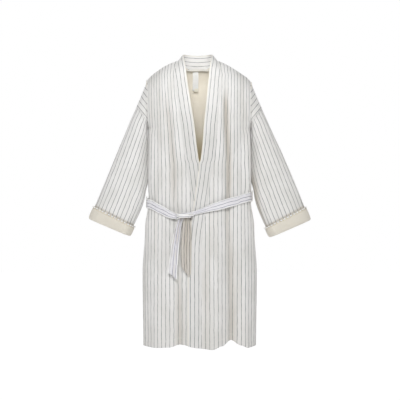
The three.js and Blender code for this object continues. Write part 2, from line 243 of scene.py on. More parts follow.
SKIRT_ROWS, CHEST_ROWS, ARM_ROWS = 120, 62, 60
PANEL_ROWS = SKIRT_ROWS + CHEST_ROWS + ARM_ROWS + 1


def row_heights(x, top_turn=0):
    """Heights of a body panel's rows above each x, from the hem to the shoulder ridge."""
    row = np.arange(PANEL_ROWS)[:, None] + 0 * x
    top = shoulder_z(x)
    skirt = mix(HEM_Z, WAIST_Z, row / SKIRT_ROWS)
    chest = mix(WAIST_Z, top - 2 * ARMHOLE_HALF, (row - SKIRT_ROWS) / CHEST_ROWS)
    turn = mix(math.pi, top_turn, np.clip((row - SKIRT_ROWS - CHEST_ROWS) / ARM_ROWS, 0, 1))
    arm = top - ARMHOLE_HALF * (1 - np.cos(turn))
    return np.where(row < SKIRT_ROWS, skirt, np.where(row < SKIRT_ROWS + CHEST_ROWS, chest, arm))


def normals(grid, wrap=False):
    """Unit normals of a grid of points, rows by columns, pointing along du x dv."""
    g = np.concatenate([grid[:, -3:-1], grid, grid[:, 1:3]], axis=1) if wrap else grid
    n = np.cross(np.gradient(g, axis=1), np.gradient(g, axis=0))
    n = n[:, 2:-2] if wrap else n
    return n / np.maximum(np.linalg.norm(n, axis=2, keepdims=True), 1e-9)


def lean(p):
    """The whole garment leans a little at the neck."""
    p = p.copy()
    height = fade(p[..., 2], V_TIP_Z, NECK_TOP_Z)
    p[..., 0] -= NECK_LEAN * height * fall(np.abs(p[..., 0]), 90, 200)
    return p


# ---- Folds, as distances out along the surface ----
# The belt's middle on the front, by x.
belt_front = soft_line(
    (204, BELT_SIDES[1]), (70, -533), (-30, -563), (-58, -576), (-86, -577), (-204, BELT_SIDES[0])
)


def belt_line(x, back):
    level = mix(*BELT_SIDES, (x / SHOULDER_X + 1) / 2)
    sag = 14 * np.sqrt(np.clip(1 - (x / SHOULDER_X) ** 2, 0, 1))
    return np.where(back, level - sag, belt_front(x))


def gathers(x, z, back, seed):
    """Small puckers above and below the belt, and the dip under it."""
    away = np.abs(z - belt_line(x, back))
    wave = np.sin(x / 4.6 + 3.0 * noise(x / 60, z / 300, seed)) + 0.6 * noise(x / 9, z / 200, seed + 1)
    return 1.5 * wave * np.exp(-away / 42) * fade(away, 4, 26) - 1.4 * np.exp(-((away / 24) ** 2))


def long_folds(x, z):
    """The valleys that run down the front, 0 to 1 deep."""
    sway = 3 * np.sin(z / 90)
    skirt = fall(z, -820, -560)
    left = bump(x, 110 + sway + 14 * fall(z, -760, -540), 11 + 6 * skirt)
    left = left * mix(0.55 + 0.45 * skirt, 1, fade(z, -590, -460)) * fall(z, -150, -60)
    right_chest = bump(x, mix(-104, -120, fade(z, -420, -120)) + sway, 11)
    right_chest = right_chest * fade(z, -560, -440) * fall(z, -180, -80)
    right_skirt = bump(x, -82 + sway, 14) * fall(z, -900, -740)
    centre = bump(x, 22 + sway, 12) * 0.35 * fall(z, -800, -620)
    return left, right_chest, right_skirt, centre


def front_folds(x, z):
    skirt = fall(z, -900, -570)
    left, right_chest, right_skirt, centre = long_folds(x, z)
    d = 4.0 * skirt * bump(x, -156, 34)
    d += 3.0 * skirt * bump(x, -22, 26)
    d += 5.0 * skirt * bump(x, 58, 26)
    d += 5.0 * skirt * bump(x, 180, 20)
    chest = fade(z, -560, -470) * fall(z, -120, -40)
    d += 2.5 * chest * bump(x, 138, 16) + 2.0 * chest * bump(x, 84, 15) + 2.0 * chest * bump(x, -150, 18)
    d -= mix(8.0, 13.0, skirt) * left + 5.0 * right_chest + 10.0 * right_skirt + 6.0 * centre
    return d + gathers(x, z, False, 11) * (1 - 0.7 * bump(x, -60, 30))


def front_painted_shade(x, z):
    """Painted shade on the fronts, 0 to about 1, for the material: deeper in the folds, in faint uneven
    patches, as a shadow beside the knot and towards the hem.
    """
    left, right_chest, right_skirt, centre = long_folds(x, z)
    soft = 0.16 * fade(noise(x / 17, z / 210, 45), 0.1, 0.7)
    # A painted shadow of the tail beside the knot.
    knot_painted_shadow = 0.7 * bump(x, -28, 5) * fade(z, -690, -640) * fall(z, -580, -560)
    left = left * mix(0.62, 0.95, fade(z, -560, -430))
    # Painted shade that grows towards the hem.
    hem_painted_shade = 0.1 * fall(z, -1050, -860)
    return left + 0.4 * right_chest + 0.35 * right_skirt + 0.5 * centre + soft + knot_painted_shadow + hem_painted_shade


def back_folds(x, z):
    skirt = fall(z, -880, -560)
    d = 6.0 * skirt * np.cos(TURN * (x + 14) / 128 + 0.5 * np.sin(z / 160))
    chest = fade(z, -540, -440) * fall(z, -200, -80)
    d += 2.2 * chest * np.cos(TURN * (x - 30) / 96 + z / 200)
    return d + gathers(x, z, True, 21)


def small_wrinkles(x, z, seed):
    coarse = 1.1 * noise(x / 30, z / 95, seed) + 0.55 * noise(x / 13, z / 42, seed + 1)
    return coarse + 0.3 * noise(x / 6, z / 15, seed + 2)


def body_folds(x, z, back):
    """All folds of a body panel. They die out at the side seams, the shoulders and the neck."""
    inside = fall(np.abs(x), 182, 200) * fall(z, shoulder_z(x) - 70, shoulder_z(x) - 6)
    large = back_folds(x, z) if back else front_folds(x, z)
    at_armhole = fade(np.abs(x), 190, 203) * fade(z, SHOULDER_Z - 2 * ARMHOLE_HALF - 10, SHOULDER_Z - 150)
    d = (large + small_wrinkles(x, z, 51 if back else 41)) * inside - 3.0 * at_armhole
    if back:
        return d
    # The sides of the chest are fuller in front than half an ellipse.
    squarer = np.where(x > 0, 9.0, 5.0) * bump(np.abs(x), 188, 21) * fall(np.abs(x), 191, 203)
    return d + squarer * fade(z, -505, -455) * fall(z, -260, -180)


# How far the hem is drawn up, by x.
hem_front = profile(
    (222, 4), (188, -1), (158, 10), (120, 31), (86, 9), (48, -4),
    (-8, 3), (-74, 15), (-118, 3), (-175, 0), (-222, 4),
)


# ---- Meshes ----
def add(name, data):
    """A new object of the scene."""
    obj = bpy.data.objects.new(name, data)
    bpy.context.scene.collection.objects.link(obj)
    return obj


def frame_points(p):
    """The frame's metres. The left shoulder hangs lower and closer in, and its sleeve longer."""
    p = p.copy()
    shoulder = fade(p[:, 0], 70, 170) * fade(p[:, 2], -430, -90)
    sleeve_end = fade(p[:, 0], 222, 262) * fall(p[:, 2], -640, -420)
    p[:, 0] -= 5 * shoulder
    p[:, 2] -= 7 * shoulder + 5 * sleeve_end
    return (p + np.array([0, RIDGE_Y, 0])) * MM


def solid(name, points, faces, material, grain, head=None, painted_shade=None):
    """A closed mesh of quads. By point, it has places on its cloth and how much shade is painted on it."""
    mesh = bpy.data.meshes.new(name)
    mesh.from_pydata(frame_points(points.reshape(-1, 3)).tolist(), [], faces.tolist())
    if painted_shade is not None:
        layer = mesh.attributes.new("painted_shade", "FLOAT", "POINT")
        layer.data.foreach_set("value", np.clip(painted_shade, 0, 1).astype(np.float32).ravel())
    for label, uv in (("grain", grain), ("head", head)):
        if uv is not None:
            layer = mesh.uv_layers.new(name=label)
            uv = uv.reshape(-1, 2) * MM
            layer.data.foreach_set("uv", uv[faces].astype(np.float32).ravel())
    mesh.materials.append(material)
    bm = bmesh.new()
    bm.from_mesh(mesh)
    bmesh.ops.remove_doubles(bm, verts=bm.verts, dist=2e-6)
    if bm.calc_volume(signed=True) < 0:
        bmesh.ops.reverse_faces(bm, faces=bm.faces)
    for face in bm.faces:
        face.smooth = True
    bm.to_mesh(mesh)
    bm.free()
    return add(name, mesh)


def grid_faces(rows, cols, start=0):
    at = start + np.arange(rows * cols).reshape(rows, cols)
    return np.stack([at[:-1, :-1], at[:-1, 1:], at[1:, 1:], at[1:, :-1]], axis=-1).reshape(-1, 4)


def shell(name, outer, inner, grain, material, wrap=False, head=None, painted_shade=None):
    """A sheet of cloth as a closed solid between two grids of points."""
    rows, cols = outer.shape[:2]
    count = rows * cols
    a = np.arange(count).reshape(rows, cols)
    b = a + count
    parts = [grid_faces(rows, cols), grid_faces(rows, cols, count)[:, ::-1]]
    rims = [(a[0], b[0]), (b[-1], a[-1])]
    if not wrap:
        rims += [(b[:, 0], a[:, 0]), (a[:, -1], b[:, -1])]
    for p, q in rims:
        parts.append(np.stack([p[:-1], q[:-1], q[1:], p[1:]], axis=-1))
    if painted_shade is not None:
        painted_shade = painted_shade + 0 * outer[..., 0]
    twice = [None if grid is None else np.stack([grid] * 2) for grid in (grain, head, painted_shade)]
    return solid(name, np.stack([outer, inner]), np.concatenate(parts), material, *twice)


# ---- Materials ----
class Nodes:
    """The node tree of a material or the world. Each call makes a node and returns an output."""

    def __init__(self, name, kind="materials", shader="Principled BSDF"):
        self.made = getattr(bpy.data, kind).new(name)
        self.made.use_nodes = True
        self.tree = self.made.node_tree
        self.shader = self.tree.nodes[shader]

    def node(self, kind, inputs=(), output=0, **settings):
        node = self.tree.nodes.new(kind)
        for key, value in settings.items():
            setattr(node, key, value)
        for key, value in dict(inputs).items():
            self.put(node.inputs[key], value)
        return node.outputs[output]

    def put(self, socket, value):
        """Links or sets a socket."""
        if isinstance(value, bpy.types.NodeSocket):
            self.tree.links.new(value, socket)
        else:
            socket.default_value = value

    def math(self, operation, a, b=0.0, c=0.0):
        return self.node("ShaderNodeMath", {0: a, 1: b, 2: c}, operation=operation)

    def ramp(self, value, low, high, to_low=0.0, to_high=1.0):
        inputs = {0: value, 1: low, 2: high, 3: to_low, 4: to_high}
        return self.node("ShaderNodeMapRange", inputs, interpolation_type="SMOOTHSTEP")

    def blend(self, share, a, b):
        inputs = {0: share, 6: a, 7: b}
        return self.node("ShaderNodeMix", inputs, output=2, data_type="RGBA")

    def uv(self, name="grain"):
        return self.node("ShaderNodeUVMap", uv_map=name)

    def split(self, vector):
        """The X and Y of a vector."""
        x = self.node("ShaderNodeSeparateXYZ", {0: vector})
        return x, x.node.outputs[1]

    # How much shade is painted at a point, from its attribute.
    def painted_shade(self):
        return self.node("ShaderNodeAttribute", output=2, attribute_name="painted_shade")

    def scaled(self, vector, scale):
        return self.node("ShaderNodeVectorMath", {0: vector, 1: scale}, operation="MULTIPLY")

    def noise(self, place, u, v, detail=2.0, roughness=0.5):
        """Noise with u and v cells a metre."""
        vector = self.scaled(place, (u, v, 1))
        inputs = {"Vector": vector, "Scale": 1.0, "Detail": detail, "Roughness": roughness}
        return self.node("ShaderNodeTexNoise", inputs, noise_dimensions="2D")

    def set(self, **values):
        for key, value in values.items():
            self.put(self.shader.inputs[key.replace("_", " ").title().replace("Ior", "IOR")], value)

    def finish(self, heights, base_color, roughness, **values):
        """The material, with its values and with bumps from (height, distance in metres) pairs."""
        self.set(base_color=base_color, roughness=roughness, **values)
        normal = {}
        for height, distance in heights:
            inputs = {"Height": height, "Distance": distance, "Strength": 1.0, **normal}
            normal = {"Normal": self.node("ShaderNodeBump", inputs)}
        self.set(**normal)
        return self.made


def rgb(*levels):
    """A screen colour, 0 to 255 and not near black, as a linear one."""
    return (*(((c / 255 + 0.055) / 1.055) ** 2.4 for c in levels), 1.0)


CLOTH = rgb(236, 235, 233)
CLOTH_SHADE = rgb(226, 225, 222)
# The tone that painted shade darkens the striped cloth towards.
PAINTED_SHADE_TONE = rgb(196, 190, 180)
STRIPE = rgb(82, 82, 90)
# The tone that painted shade darkens the lining and the cuffs towards.
LINING_PAINTED_SHADE = rgb(192, 172, 118)
STITCH = rgb(250, 249, 245)
WARP_PITCH, WEFT_PITCH = 0.0011, 0.0013  # metres from thread to thread of the gauze


def weave_heights(n, place):
    """Heights of a plain weave, 0 to 1, and of the crinkle of double gauze."""
    warp, weft = n.split(n.scaled(place, (TURN / WARP_PITCH, TURN / WEFT_PITCH, 1)))
    warp, weft = n.math("SINE", warp), n.math("SINE", weft)
    weave = n.math("MULTIPLY_ADD", n.math("MULTIPLY", warp, weft), 0.5, 0.5)
    crinkle = n.noise(place, 380, 120, 3.0, 0.6)
    return weave, crinkle


def stitches(n, across, along, places, length=0.0034):
    """Rows of stitches along the cloth: 1 on a stitch, 0 off it."""
    found = None
    dash = n.math("LESS_THAN", n.math("FRACT", n.math("DIVIDE", along, length)), 0.68)
    for place in places:
        row = n.ramp(n.math("ABSOLUTE", n.math("SUBTRACT", across, place)), 0.0003, 0.0007, 1.0, 0.0)
        found = row if found is None else n.math("MAXIMUM", found, row)
    return n.math("MULTIPLY", found, dash)


def striped(
    name, base, shade, stripe, pitch=0.016, width=0.0019, shift=0.0,
    piping=None, span=None, head=False, rows=(), hem=(),
):
    """Striped double gauze. The stripes run along the grain, a little unevenly.

    Places are in metres. piping is the colour of its edge, or of both edges of a strip span wide.
    head takes the stripes of a sleeve's head from their own layer. rows and hem are where rows of
    stitches run, along the grain and across it.
    """
    n = Nodes(name)
    place = n.uv()
    u, v = n.split(place)
    across = u
    wander = n.noise(place, 22, 26)
    if head:
        above, _ = n.split(n.uv("head"))
        on_head = n.math("GREATER_THAN", above, 0.0)
        elsewhere = n.math("MULTIPLY", n.math("SUBTRACT", 1.0, on_head), across)
        across = n.math("ADD", n.math("MULTIPLY", on_head, above), elsewhere)
    placed = n.math("ADD", n.math("MULTIPLY_ADD", wander, 0.0034, across), shift)
    cell = n.math("FRACT", n.math("DIVIDE", placed, pitch))
    away = n.math("MULTIPLY", n.math("ABSOLUTE", n.math("SUBTRACT", cell, 0.5)), pitch)
    line = n.ramp(away, width * 0.25, width * 0.75, 1.0, 0.0)
    uneven = n.noise(place, 300, 46, 3.0)
    strength = n.ramp(uneven, 0.25, 0.7, 0.62, 1.0)
    patches = n.noise(place, 16, 9, 3.0)
    ground = n.blend(n.ramp(patches, 0.35, 0.75), base, shade)
    # Painted shade from the point attribute darkens the ground.
    ground = n.blend(n.painted_shade(), ground, PAINTED_SHADE_TONE)
    stripe = n.blend(n.ramp(patches, 0.3, 0.8), stripe, rgb(108, 110, 110))
    colour = n.blend(n.math("MULTIPLY", line, strength), ground, stripe)
    if piping is not None:
        edge = u
        if span is not None:
            edge = n.math("MINIMUM", edge, n.math("SUBTRACT", span, edge))
        colour = n.blend(n.ramp(edge, 0.0028, 0.0044, 1.0, 0.0), colour, piping)
    weave, crinkle = weave_heights(n, place)
    heights = [(crinkle, 0.0011), (weave, 0.00012)]
    for places, a, b in ((rows, u, v), (hem, v, u)):
        if places:
            sewn = stitches(n, a, b, places)
            colour = n.blend(n.math("MULTIPLY", sewn, 0.6), colour, STITCH)
            heights.append((sewn, 0.0004))
    return n.finish(
        heights, colour, n.ramp(crinkle, 0.3, 0.7, 0.82, 0.96),
        sheen_weight=0.25, sheen_roughness=0.5, specular_ior_level=0.2,
    )


def plush(name, base, shade):
    """The matte inner cloth, with a short soft pile."""
    n = Nodes(name)
    place = n.uv()
    pile = n.noise(place, 900, 900, roughness=0.7)
    patches = n.noise(place, 30, 22, 3.0)
    fleck = n.blend(n.ramp(pile, 0.3, 0.75), base, shade)
    colour = n.blend(n.ramp(patches, 0.4, 0.8, 0.0, 0.5), fleck, shade)
    # Painted shade from the point attribute darkens the pile.
    colour = n.blend(n.painted_shade(), colour, LINING_PAINTED_SHADE)
    return n.finish(
        [(pile, 0.0006), (patches, 0.0014)], colour, n.ramp(pile, 0.3, 0.7, 0.9, 1.0),
        sheen_weight=0.35, sheen_roughness=0.45, specular_ior_level=0.15,
    )


def tape(name, base, shade, ribs, roughness, edge=None):
    """A narrow woven tape or ribbon, with fine ribs across it. edge is (place, colour)."""
    n = Nodes(name)
    place = n.uv()
    u, v = n.split(place)
    rib = n.math("SINE", n.math("MULTIPLY", v, TURN / ribs))
    patches = n.noise(place, 240, 240)
    colour = n.blend(n.ramp(patches, 0.3, 0.8), base, shade)
    if edge is not None:
        colour = n.blend(n.ramp(u, edge[0], edge[0] + 0.0008), colour, edge[1])
    roughness = n.ramp(rib, -1.0, 1.0, roughness, roughness + 0.1)
    heights = [(rib, 0.00012), (patches, 0.0002)]
    return n.finish(heights, colour, roughness, sheen_weight=0.2, specular_ior_level=0.35)


cloth = striped("striped_cloth", CLOTH, CLOTH_SHADE, STRIPE, hem=((HEM_Z + HEM_STITCH) * MM,))
sleeve_cloth = striped("striped_sleeve_cloth", CLOTH, CLOTH_SHADE, STRIPE, head=True)
band_look = dict(shift=-0.004, piping=rgb(238, 235, 227))
# The bands are the robe's cloth a shade darker all over: painted shade.
band_cloth_painted_shade = striped(
    "striped_band_cloth_painted_shade", rgb(228, 227, 225), rgb(219, 218, 215), STRIPE, rows=(0.0045, 0.0445), **band_look
)
collar_cloth = striped(
    "striped_collar_cloth", rgb(244, 243, 241), rgb(237, 236, 233), rgb(134, 134, 140),
    rows=(0.0045,), **band_look,
)
belt_look = dict(pitch=0.0125, width=0.0018, shift=0.001, rows=(0.0022, 0.0338))
belt_cloth = striped(
    "belt_cloth", rgb(235, 234, 237), rgb(224, 223, 230), rgb(84, 80, 116),
    piping=rgb(253, 253, 252), span=BELT_WIDTH * MM, **belt_look,
)
# The knot is the belt's cloth painted lighter, with paler stripes: a painted highlight.
knot_cloth_painted_light = striped(
    "knot_cloth_painted_light", rgb(254, 254, 254), rgb(250, 250, 251), rgb(146, 143, 168), **belt_look
)
# The left tail is the belt's wrong side, with its stripes set closer, and painted darker as shade.
belt_look.update(pitch=0.0092, width=0.0019)
belt_wrong_side_painted_shade = striped(
    "belt_wrong_side_painted_shade", rgb(213, 208, 201), rgb(200, 193, 184), rgb(92, 84, 78), **belt_look
)
lining_cloth = plush("cream_lining", rgb(246, 240, 226), rgb(238, 230, 213))
cuff_cloth = plush("cuff_cloth", rgb(229, 224, 213), rgb(218, 212, 199))
white_tape = tape("white_tape", rgb(232, 230, 223), rgb(228, 226, 218), 0.0009, 0.75)
label_edge = (0.0185, rgb(252, 252, 250))
label_ribbon = tape("label_ribbon", rgb(249, 249, 246), rgb(241, 241, 238), 0.0004, 0.45, label_edge)
tab_ribbon = tape("size_tab", rgb(248, 244, 230), rgb(240, 234, 215), 0.0004, 0.5)
thread = tape("stitching_thread", rgb(255, 255, 255), rgb(250, 250, 250), 0.0006, 0.7)


# ---- The body: fronts, back and their linings ----
SIDES = {"left": 1, "right": -1}


def front_grid(flip, cols=56, under=3):
    """A front from its band seam to the side, on the wearer's left. It runs on under the band."""
    u = np.concatenate([np.linspace(-0.03, -0.008, under), np.linspace(0, 1, cols)])[None, :]
    x = mix(NECK_HALF, SHOULDER_X, u) + np.zeros((PANEL_ROWS, 1))
    for _ in range(6):
        z = row_heights(x)
        start = np.arcsin(np.clip((band_seam(z) + 1) / half_width(z), -1, 1))
        x = half_width(z) * np.sin(mix(start, math.pi / 2, u))
    return front_points(x, z, flip), u + 0 * x


def finished(p, flip, back=False):
    """Mirrors a grid if it is the wearer's right, then adds the hem's waves and the lean."""
    p = p * [flip, 1, 1]
    x = p[..., 0]
    behind = (5 + 3 * np.cos(x / 33)) * fall(np.abs(x), 170, 220) * back
    p[..., 2] += fall(p[..., 2], HEM_Z, -880) * (hem_front(x) + behind)
    return lean(p)


def lined(name, at, grain, material, wrap=False, head=None, painted_shade=None, deep=None):
    """A part's outer cloth and the inner cloth inside it. at gives its points at an offset outwards.
    painted_shade and deep are how much shade is painted on the outer and the inner cloth.
    """
    outer = shell(f"{name}_cloth", at(0), at(-SKIN), grain, material, wrap, head, painted_shade)
    inside = at(LINING_OUT), at(LINING_IN)
    return outer, shell(f"{name}_lining_cloth", *inside, grain, lining_cloth, wrap, None, deep)


def body_part(name, base, d, seam, grain, flip=1, back=False, painted_shade=None, deep=None):
    """A part of the body from the points it lies on, its folds and how far its seam draws it in."""
    n = normals(base)
    stitched = seam - 0.5 * bump(base[..., 2], HEM_Z + HEM_STITCH, 3)

    def at(offset):
        drawn = {0: 1, -SKIN: 0.5}.get(offset, 0) * stitched
        p = base + n * (d + offset + drawn)[..., None]
        p[..., 1] = np.maximum(p[..., 1], 0.3) if back else np.minimum(p[..., 1], -0.3)
        return finished(p, flip, back)

    return lined(name, at, grain, cloth, painted_shade=painted_shade, deep=deep)


def front_piece(side):
    flip = SIDES[side]
    base, u = front_grid(flip)
    x, z = base[..., 0], base[..., 2]
    d = body_folds(x * flip, z, False) - 3.2 * fade(-u, 0.0, 0.008)
    seam = -0.8 * bump(u, 0.0, 0.012)
    along = run_length(base)
    straight = np.array([np.interp(GRAIN_LINE_X, *row) for row in zip(x, along)])
    at_seam = band_seam(z) - (BAND_WIDTH + edge_below_tip(V_TIP_Z))
    slant = 0.6 * np.maximum(0, at_seam) * np.clip(1 - u, 0, 1) ** 2
    grain = grid_of(FRONT_GRAIN + along - straight[:, None] - slant, z)
    return body_part(f"{side}_front", base, d, seam, grain, flip, painted_shade=front_painted_shade(x * flip, z))


def back_piece():
    cols = 117
    s = np.linspace(-1, 1, cols)[None, :]
    share = 0.4  # of the columns on each side, how many lie in the neck
    in_neck = NECK_HALF * np.sin(math.pi / 2 * np.minimum(1, np.abs(s) / share))
    beyond = np.maximum(0, (np.abs(s) - share) / (1 - share))
    z = np.zeros((PANEL_ROWS, 1)) + 0 * s
    for _ in range(6):
        angle = mix(np.arcsin(in_neck / half_width(z)), math.pi / 2, beyond)
        x = np.sign(s) * half_width(z) * np.sin(angle)
        out = np.clip(np.abs(x) / NECK_HALF, 0, 1)
        drop = (NECK_TOP_Z - NECK_BACK_Z) * (1 - out**2.4)
        z = row_heights(x, np.arccos(1 - drop / ARMHOLE_HALF))
    base = np.stack([-x, half_depth(x, z), z], axis=-1)
    d = body_folds(base[..., 0], z, True)
    along = run_length(base)
    grain = grid_of(along - along[:, [cols // 2]] + BACK_GRAIN, z)
    # The inside of the back is in the shade behind the tip of the neck opening.
    deep = 0.75 * fade(-z, 200, 350) * fall(-z, 650, 900) * fall(np.abs(x), 60, 150)
    return body_part("back", base, d, 0, grain, back=True, deep=deep)


# ---- Bands ----
COLLAR_SEAM = [(71, 4, 38.8), (66, 31, 32), (48.7, 53.5, 18.4), (24.3, 65.3, 8.2), (0, 67.8, 5.8)]
COLLAR_EDGE = [(57, 27, 62), (53, 38, 64), (42, 52, 64), (22, 60, 63), (0, 63, 62)]
SHOULDER_EDGE = [(57.5, 23, 62), (56, -10, 57), (52.5, -46, 40), (47.5, -70, 14), (43, -82, -14)]
TURN_ROWS = ARM_ROWS * 4 // 10  # rows of a front band that turn back round the neck


def band_profile(cols):
    """Shares of a band's width, and how far its outer and inner faces stand off its middle."""
    turn = np.linspace(0, math.pi, cols)[None, :]
    across = (1 - np.cos(turn)) / 2
    puff = np.sin(turn) ** 0.35
    return across, puff


def band_solid(name, edge, seam, folds, place, material=band_cloth_painted_shade):
    """A band between its free edge and its seam, rounded at the edge and drawn in at the stitching."""
    across, puff = band_profile(19)
    base = mix(edge[:, None], seam[:, None], across[..., None])
    n = normals(base)
    width = np.linalg.norm(seam - edge, axis=1)[:, None]
    stitched = bump(across * width, width - 3.5, 1.6) + bump(across * width, 4.5, 1.6)
    d = folds(base)
    outer = base + n * (d + 1.3 * puff - 0.7 * stitched)[..., None]
    inner = base + n * (d - 2.4 * puff)[..., None]
    grain = grid_of(across * width, run_length((edge + seam) / 2)[:, None])
    return shell(name, place(outer), place(inner), grain, material)


def front_band(side):
    flip = SIDES[side]
    base, _ = front_grid(flip, under=0)
    seam = base[:, 0].copy()
    flat = PANEL_ROWS - TURN_ROWS
    climb = ease((np.arange(PANEL_ROWS) - flat) / TURN_ROWS)
    seam[:, 0] -= mix(-1.5, 0, climb)
    seam[:, 2] += 1.5 * climb
    z = seam[:, 2] + 28 * fade(seam[:, 2], -200, -42)
    edge = front_points(front_edge(z), z, flip)
    edge[flat:] = curve(SHOULDER_EDGE, TURN_ROWS)[::-1]
    near = slice(flat - 6, flat + 6)
    edge[near] = mix(edge[flat - 6], edge[flat + 5], np.linspace(0, 1, 12)[:, None])
    folds = lambda p: fall(p[..., 2], -110, -10) * body_folds(p[..., 0] * flip, p[..., 2], False)
    return band_solid(f"{side}_front_band_cloth", edge, seam, folds, lambda p: finished(p, flip))


def collar():
    halves = curve(COLLAR_EDGE, 30), curve(COLLAR_SEAM, 30)
    edge, seam = (np.concatenate([p, (p * [-1, 1, 1])[-2::-1]]) for p in halves)
    folds = lambda p: 0.7 * noise(p[..., 0] / 17, p[..., 2] / 11, 71)
    return band_solid("back_collar_cloth", edge, seam, folds, lean, collar_cloth)


# ---- Sleeves and cuffs ----
SLEEVE_TOP = np.array([(204.4, 0, -42), (431, 0, -582)])
SLEEVE_UNDER = [(204.4, 0, -222), (209, 0, -330), (214.5, 0, -505), (276, 0, -648)]
SLEEVE_LENGTH = np.linalg.norm(SLEEVE_TOP[1] - SLEEVE_TOP[0])
SLEEVE_AXIS = unit(SLEEVE_TOP[1] - SLEEVE_TOP[0])
SLEEVE_ROWS, SLEEVE_COLS, TUCK_ROWS = 150, 105, 40
TUCK_TURN = math.radians(TUCK_DEG)
SEAM_FLARE = 3.0  # the sleeve spreads this much to meet the armhole's edge
CREASE_LOW, CREASE_HIGH = np.array([(207, -200), (250, -141)])


def behind_side(w, share):
    """Where the under edge of a sleeve lies back behind the side of the body, 0 to 1."""
    return fade(w, 0.1, 0.3) * fall(w, 0.48, 0.62) * fade(share, 0.6, 1.0)


def sleeve_base(w):
    """Points of a left sleeve at shares w down its length, and the angle round from the top.

    Below 0, w runs up into the cloth tucked inside the body, which comes out as the arm is raised.
    """
    angle = np.linspace(0, TURN, SLEEVE_COLS)[None, :]
    tucked = np.maximum(-w, 0)[:, None]
    w = np.maximum(w, 0)[:, None]
    top = mix(*SLEEVE_TOP, w[..., None])
    under = along_line(curve(SLEEVE_UNDER, 400), w)
    flare = SEAM_FLARE * fall(w, 0.0, 0.07) * fall(tucked, 0.0, 0.05)
    top[..., 2] += flare
    under[..., 2] -= flare
    share = (1 - np.cos(angle)) / 2
    p = mix(top, under, share[..., None])
    depth = mix(54, 40, ease(w)) + flare
    flat = np.sin(angle) * (1 + 0.12 * np.cos(angle) ** 2 * fade(w, 0.05, 0.3))
    reach = np.linalg.norm(top - under, axis=-1) * (1 - share)
    boxed = np.sign(np.sin(angle)) * np.sqrt(np.clip(reach / 24, 0, 1))
    flat = mix(flat, boxed, 0.85 * fade(w, 0.35, 0.7) * fade(share, 0.5, 0.9))
    p[..., 1] = -depth * flat
    inward = behind_side(w, share)
    p[..., 0] -= 10 * inward
    p[..., 1] += 24 * inward
    turn = TUCK_TURN * tucked
    reach = SHOULDER_Z - p[..., 2]
    p[..., 0] -= reach * np.sin(turn)
    p[..., 2] = SHOULDER_Z - reach * np.cos(turn)
    return p, angle


def crease_distance(p):
    """Distance above the crease below the sleeve head, seen from the front, and along it."""
    along = unit(CREASE_HIGH - CREASE_LOW)
    x, z = p[..., 0] - CREASE_LOW[0], p[..., 2] - CREASE_LOW[1]
    return -x * along[1] + z * along[0], x * along[0] + z * along[1]


def off_the_seam(round_place):
    """0 where the two ends of a sleeve's round meet, at its top, and 1 away from there."""
    return fade(round_place, 0, 14) * fall(round_place, SLEEVE_ROUND - 14, SLEEVE_ROUND)


def sleeve_folds(p, angle, w, seed):
    above, _ = crease_distance(p)
    side = np.abs(np.sin(angle)) ** 0.5
    d = 3.2 * np.tanh(above / 2.0) * np.exp(-np.abs(above) / 16) * side * fall(w, 0.35, 0.5)
    round_place = SLEEVE_ROUND * angle / TURN
    far = w * 600  # about a sleeve's length
    d += 2.2 * noise(round_place / 38, far / 170, seed) * fade(w, 0.12, 0.4)
    d += 0.9 * noise(round_place / 15, far / 60, seed + 1) * fade(w, 0.04, 0.15)
    d += 0.35 * noise(round_place / 6, far / 18, seed + 2)
    d -= 3.5 * bump(round_place, np.where(np.sin(angle) > 0, 128, 205), 9) * fade(w, 0.45, 0.8)
    behind = behind_side(w, (1 - np.cos(angle)) / 2)
    return d * fade(w, 0.0, 0.03) * off_the_seam(round_place) * (1 - 0.85 * behind)


def sleeve(side):
    flip = SIDES[side]
    w = np.concatenate([np.linspace(-1, -1 / TUCK_ROWS, TUCK_ROWS), np.linspace(0, 1, SLEEVE_ROWS)])
    base, angle = sleeve_base(w)
    n = normals(base, wrap=True)
    d = sleeve_folds(base, angle, w[:, None], 86 - 5 * flip)
    d[:TUCK_ROWS] = 0
    flat = base - (base @ SLEEVE_AXIS)[..., None] * SLEEVE_AXIS
    grain = grid_of(run_length(flat) + 5, base @ SLEEVE_AXIS)
    above, beside = crease_distance(base)
    head = grid_of(np.maximum(above, -30), beside)
    down = UNDERARM_REACH * TUCK_TURN * w[:TUCK_ROWS, None]
    for places in (grain, head):
        places[:TUCK_ROWS] = places[TUCK_ROWS]
        places[:TUCK_ROWS, :, 1] += down

    def at(offset):
        return (base + n * (d + offset)[..., None]) * [flip, 1, 1]

    # Shade: faint all over the left sleeve, deep along its under edge and just above both cuffs.
    share, row = (1 - np.cos(angle)) / 2, w[:, None]
    edge = fade(share, mix(0.82, 0.94, fade(row, 0.6, 0.85)), 0.985) * (np.sin(angle) > -0.1)
    edge = edge * fade(row, 0.4, 0.6) * (1 - 0.45 * fade(row, 0.66, 0.95))
    painted_shade = (edge + 0.1) * (flip > 0) + 0.85 * bump(row, 0.908, 0.008)
    return lined(f"{side}_sleeve", at, grain, sleeve_cloth, True, head, painted_shade)


# The section of a turned-up cuff: (down from its upper edge, out from the sleeve).
CUFF_SECTION = [
    (1, 0.9), (-1.6, 2.4), (0, 4.6), (4, 4.7), (7, 3.7), (10, 4.6), (20, 5.4), (34, 5.6), (46, 5.0),
    (51, 3.2), (53.4, -0.6), (52, -5.0), (46, -7.0), (34, -7.4), (33, -6.0), (44, -5.4), (49, -4.2),
    (50.8, -1.0), (49.6, 0.8), (40, 1.0), (20, 1.0),
]


